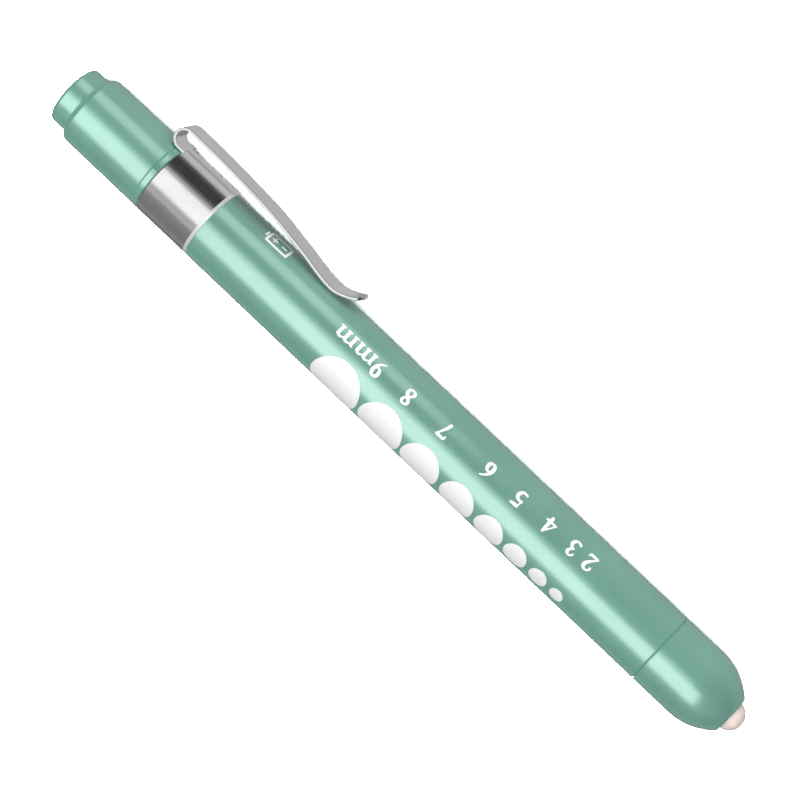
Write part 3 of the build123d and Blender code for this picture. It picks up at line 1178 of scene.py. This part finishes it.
@dataclass
class CoilSpring:
    """A wire spring with closed end coils.

    Attributes:
        name: Name of the piece.
        node: The CAD node it stands for.
        first: Body at its tail end; not used.
        second: Body at its lamp end; not used.
        wire: Radius of the wire.
        turns: Coils in all.
        narrow: Share of the first coil's radius that the last coil has.
    """

    name: str
    node: str
    first: Body
    second: Body
    wire: float
    turns: float
    narrow: float = 1.0

    def build(self, pen: PenFrame, finish: bpy.types.Material) -> bpy.types.Object:
        """Wind the spring.

        Args:
            pen: The pen's frame.
            finish: The wire's steel.

        Returns:
            The spring.
        """
        low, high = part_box(self.node)
        start, end = pen.station_of(low.x) + self.wire, pen.station_of(high.x) - self.wire
        wide = (high.y - low.y) / 2 / MM - self.wire
        steps = int(self.turns * 36)
        shape = bmesh.new()
        rows = []
        for k in range(steps + 1):
            turn = self.turns * k / steps
            share = self.rise(turn)
            radius = wide * (1 + (self.narrow - 1) * share)
            middle = pen.point(start + (end - start) * share, radius, 360 * turn)
            out = pen.out(360 * turn)
            along = Vector((1.0, 0.0, 0.0))
            ring = []
            for j in range(10):
                spin = math.tau * j / 10
                ring.append(middle + (out * math.cos(spin) + along * math.sin(spin)) * (self.wire * MM))
            rows.append(ring)
        skin(shape, rows)
        piece = new_piece(self.name, shape, sharp=60.0)
        dress(piece, finish)
        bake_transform(piece)
        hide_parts(self.node)
        return piece

    def rise(self, turn: float) -> float:
        """How far along the spring a coil has got.

        Args:
            turn: Coils wound so far.

        Returns:
            A share from 0 to 1.
        """
        closed = self.wire * 0.7
        if turn < 1:
            return closed * 0.1 * turn
        if turn > self.turns - 1:
            return 1 - closed * 0.1 * (self.turns - turn)
        middle = (turn - 1) / (self.turns - 2)
        return closed * 0.1 + middle * (1 - closed * 0.2)


# ---- pieces that keep their CAD shape --------------------------------------------------------


@dataclass
class Dressing:
    """A finish for the CAD nodes that keep their shape.

    Attributes:
        finish: Any finish with a make method.
        nodes: Names of the CAD nodes.
    """

    finish: Anodised | BrightSteel | Moulded | PlainMetal | ClearEpoxy | CellWrap
    nodes: tuple[str, ...]

    def apply(self) -> None:
        """Dress the nodes in one shared material."""
        material = self.finish.make()
        for name in self.nodes:
            dress(frame["nodes"][name], material)
            log.info("dressed %s in %s", name, material.name)


# ---- studio ----------------------------------------------------------------------------------


@dataclass(frozen=True)
class Card:
    """A lit card that shines on the pen from a direction round it.

    Attributes:
        name: Name of the light.
        bearing: Direction across the pen, in degrees from +Y towards up.
        spread: Half the angle that the card spans across the pen, in degrees.
        x: Middle along the pen, in metres.
        length: Size along the pen, in metres.
        glow: Radiance of its face.
        lit: What it shines on.
        mirrored: Whether shiny surfaces show it.
        distance: Distance from the pen, in metres.
    """

    name: str
    bearing: float
    spread: float
    x: float
    length: float
    glow: float
    lit: Lit = Lit.ALL
    mirrored: bool = True
    distance: float = 0.6

    def build(self, pen: PenFrame, receivers: dict[Lit, bpy.types.Collection]) -> bpy.types.Object:
        """Hang the card.

        Args:
            pen: The pen's frame.
            receivers: The pieces that each kind of light shines on.

        Returns:
            The light.
        """
        light = bpy.data.lights.new(self.name, "AREA")
        light.shape = "RECTANGLE"
        light.size = self.length
        light.size_y = 2 * self.distance * math.tan(math.radians(self.spread))
        light.energy = self.glow * math.pi * light.size * light.size_y
        card = bpy.data.objects.new(self.name, light)
        turn = math.radians(self.bearing)
        back = Vector((0.0, math.cos(turn), math.sin(turn)))
        right = Vector((1.0, 0.0, 0.0))
        spot = Vector((self.x, pen.axis_y, pen.axis_z)) + back * self.distance
        turned = Matrix((right, back.cross(right), back)).transposed()
        card.matrix_world = Matrix.Translation(spot) @ turned.to_4x4()
        card.visible_camera = False
        card.visible_glossy = self.mirrored
        bpy.context.scene.collection.objects.link(card)
        if self.lit in receivers:
            card.light_linking.receiver_collection = receivers[self.lit]
        if self.lit is Lit.STEEL:
            card.light_linking.blocker_collection = receivers[Lit.FLOOR]
        return card


@dataclass
class Studio:
    """The floor, the light and the camera.

    Attributes:
        aim: Station that the camera looks at.
        lift: How far above the pen's axis the camera looks, in millimetres.
        reach: Distance from there to the camera, in metres.
        lean: How far the camera leans towards the lamp, in degrees.
        around: The camera's angle round the pen.
        tilt: How steeply the pen runs down to the right in the picture, in degrees.
        lens: Focal length on a 36 mm film.
        tent: Radiance of the surroundings by direction across the pen, in degrees from +Y towards up.
        cards: The lights.
    """

    aim: float = 67.49
    lift: float = 0.26
    reach: float = 0.45
    lean: float = 6.6
    around: float = 71.0
    tilt: float = 43.425
    lens: float = 138.3
    tent: tuple[tuple[float, float], ...] = (
        (-180, 0.20),
        (-140, 0.30),
        (-95, 0.25),
        (-60, 0.22),
        (-40, 0.18),
        (-22, 0.08),
        (-8, 0.04),
        (15, 0.03),
        (46, 0.05),
        (70, 0.10),
        (110, 0.10),
        (130, 0.04),
        (150, 0.02),
        (165, 0.05),
        (180, 0.20),
    )
    cards: tuple[Card, ...] = (
        Card("softbox_wide", 84, 26, -0.015, 0.68, 0.4, Lit.GREEN),
        Card("softbox_core", 83, 20, -0.015, 0.64, 0.88, Lit.GREEN),
        Card("tail_top", 56, 9, -0.24, 0.62, 0.65, Lit.GREEN),
        Card("tail_card", 0, 15, -0.3, 0.5, 0.65, Lit.GREEN),
        Card("front_core", 50, 27, 0.0, 0.8, 0.85, Lit.STEEL),
        Card("front_wide", 56, 46, 0.0, 0.8, 0.45, Lit.STEEL),
        Card("arm_card", -96, 18, 0.0, 0.8, 0.35, Lit.STEEL),
        Card("side_card", -52, 18, 0.0, 0.8, 0.5, Lit.STEEL),
        Card("back_card", 138, 40, 0.0, 0.8, 0.22, Lit.STEEL),
        Card("wash_low", -15, 30, 0.0, 2.4, 1.15, mirrored=False, distance=1.2),
        Card("wash_high", 107, 30, 0.0, 2.4, 0.85, mirrored=False, distance=1.2),
        Card("ink_wash", 50, 45, 0.0, 2.4, 1.6, Lit.INK, mirrored=False, distance=1.2),
        Card("floor_wash", 90, 45, 0.0, 2.4, 25.0, Lit.FLOOR, mirrored=False, distance=1.2),
    )

    def place_camera(self, pen: PenFrame) -> None:
        """Set the camera beside the pen.

        Args:
            pen: The pen's frame.
        """
        lean, tilt = math.radians(self.lean), math.radians(self.tilt)
        along = Vector((1.0, 0.0, 0.0))
        near = pen.out(self.around)
        back = along * math.sin(lean) + near * math.cos(lean)
        pen_right = along * math.cos(lean) - near * math.sin(lean)
        pen_up = pen.out(self.around - 90)
        up = pen_up * math.cos(tilt) - pen_right * math.sin(tilt)
        right = up.cross(back)
        lens = bpy.data.cameras.new("camera")
        lens.lens = self.lens
        lens.sensor_width = 36.0
        lens.clip_start = 0.01
        camera = bpy.data.objects.new("camera", lens)
        turned = Matrix((right, up, back)).transposed()
        aim = pen.point(self.aim, 0, 0) + pen_up * (self.lift * MM)
        camera.matrix_world = Matrix.Translation(aim + back * self.reach) @ turned.to_4x4()
        bpy.context.scene.collection.objects.link(camera)
        bpy.context.scene.camera = camera

    def lay_floor(self) -> bpy.types.Object:
        """Lay the pale floor under the pen.

        Returns:
            The floor.
        """
        shape = bmesh.new()
        bmesh.ops.create_grid(shape, x_segments=1, y_segments=1, size=3.0)
        floor = new_piece("floor", shape)
        dress(floor, Moulded("floor_white", (0.9, 0.9, 0.9), roughness=0.9, texture=0.0005).make())
        floor.visible_glossy = False
        floor.visible_diffuse = False
        floor.visible_shadow = False
        return floor

    def hang_tent(self) -> None:
        """Wrap the scene in a light tent whose brightness changes with the direction across the pen."""
        world = bpy.data.worlds.new("light_tent")
        world.use_nodes = True
        nodes, links = world.node_tree.nodes, world.node_tree.links
        split = nodes.new("ShaderNodeSeparateXYZ")
        links.new(nodes.new("ShaderNodeTexCoord").outputs["Generated"], split.inputs["Vector"])
        bearing = nodes.new("ShaderNodeMath")
        bearing.operation = "ARCTAN2"
        links.new(split.outputs["Z"], bearing.inputs[0])
        links.new(split.outputs["Y"], bearing.inputs[1])
        share = nodes.new("ShaderNodeMapRange")
        share.inputs["From Min"].default_value = -math.pi
        share.inputs["From Max"].default_value = math.pi
        links.new(bearing.outputs["Value"], share.inputs["Value"])
        ramp = nodes.new("ShaderNodeValToRGB")
        stops = ramp.color_ramp.elements
        for i, (angle, glow) in enumerate(self.tent):
            place = (angle + 180) / 360
            stop = stops[i] if i < 2 else stops.new(place)
            stop.position = place
            stop.color = (glow, glow, glow, 1.0)
        links.new(share.outputs["Result"], ramp.inputs["Fac"])
        links.new(ramp.outputs["Color"], nodes["Background"].inputs["Color"])
        bpy.context.scene.world = world

    def build(self, pen: PenFrame, pieces: dict[Lit, list[bpy.types.Object]]) -> None:
        """Set up the whole studio.

        Args:
            pen: The pen's frame.
            pieces: The pieces that each kind of light shines on, without the floor.
        """
        bpy.context.scene.view_settings.view_transform = "Standard"
        self.hang_tent()
        receivers = {}
        for lit, lit_pieces in {**pieces, Lit.FLOOR: [self.lay_floor()]}.items():
            receivers[lit] = bpy.data.collections.new(f"lit_{lit.value}")
            for piece in lit_pieces:
                receivers[lit].objects.link(piece)
        for card in self.cards:
            card.build(pen, receivers)
        self.place_camera(pen)


# ---- the whole pen ---------------------------------------------------------------------------


def main() -> None:
    """Build every piece, dress the CAD nodes and set up the studio."""
    logging.basicConfig(level=logging.INFO, format="%(message)s")
    pen = PenFrame.from_cad()
    log.info("pen length %.2f mm, barrel diameter %.2f mm", pen.length, 2 * pen.body_r)
    green = Anodised().make()
    steel = BrightSteel("bright_steel").make()
    # Near-white, partly diffuse steel for the sheared edges and the band's rim: a painted highlight, lighter
    # than the bright steel.
    edge = BrightSteel("sheared_edge_painted_highlight", (0.96, 0.96, 0.96), roughness=0.35, metal=0.4).make()
    wire = PlainMetal("spring_wire", (0.60, 0.60, 0.61), 0.3).make()
    barrel = Barrel().build(pen, green)
    gauge = Gauge().build(pen, PrintedInk().make())
    strip = ClipStrip().build(pen, steel, edge)
    band = ClipBand().build(pen, steel, edge)
    springs = [
        spring.build(pen, wire)
        for spring in (
            CoilSpring("cell_spring", "negative_spring", Body.BARREL, Body.CELLS, 0.3, 8, 0.65),
            CoilSpring("button_spring", "button_return_spring", Body.BUTTON, Body.BARREL, 0.2, 5),
        )
    ]
    for piece in (barrel, gauge, strip, band, *springs):
        log.info("built %s with %d faces", piece.name, len(piece.data.polygons))
    shells = [frame["nodes"][name] for name in ("tail_cap", "tail_bush", "push_button", "head_shell")]
    for shell in shells:
        dress(shell, green)
    cells = ("cell_1", "cell_2")
    for dressing in (
        Dressing(ClearEpoxy(), ("led_lens",)),
        Dressing(Moulded("switch_plastic", (0.02, 0.02, 0.022)), ("switch_housing", "switch_base")),
        Dressing(Moulded("plunger_plastic", (0.70, 0.70, 0.67), 0.4), ("switch_plunger",)),
        Dressing(Moulded("lamp_plastic", (0.74, 0.73, 0.69), 0.4), ("lamp_holder",)),
        Dressing(
            PlainMetal("contact_brass", (0.72, 0.50, 0.20)),
            ("contact_bridge", "centre_terminal", "side_terminal", "positive_contact", "negative_ring"),
        ),
        Dressing(PlainMetal("tinned_lead", (0.80, 0.80, 0.80), 0.2), ("led_anode_lead", "led_cathode_lead")),
        Dressing(Moulded("led_phosphor", (0.85, 0.72, 0.15), 0.6), ("led_chip",)),
        Dressing(
            PlainMetal("cell_steel", (0.68, 0.68, 0.69), 0.22),
            tuple(f"{cell}_{part}" for cell in cells for part in ("can", "negative_cap")),
        ),
        Dressing(Moulded("cell_mix", (0.03, 0.03, 0.03), 0.8), tuple(f"{cell}_core" for cell in cells)),
        Dressing(Moulded("cell_seal", (0.12, 0.12, 0.13), 0.5), tuple(f"{cell}_seal" for cell in cells)),
        Dressing(CellWrap("cell_wrap"), tuple(f"{cell}_label" for cell in cells)),
    ):
        dressing.apply()
    lens = frame["nodes"]["led_lens"]
    lit = {Lit.GREEN: [barrel, lens, *shells], Lit.STEEL: [strip, band], Lit.INK: [gauge, lens]}
    Studio().build(pen, lit)


if __name__ == "__main__":
    main()
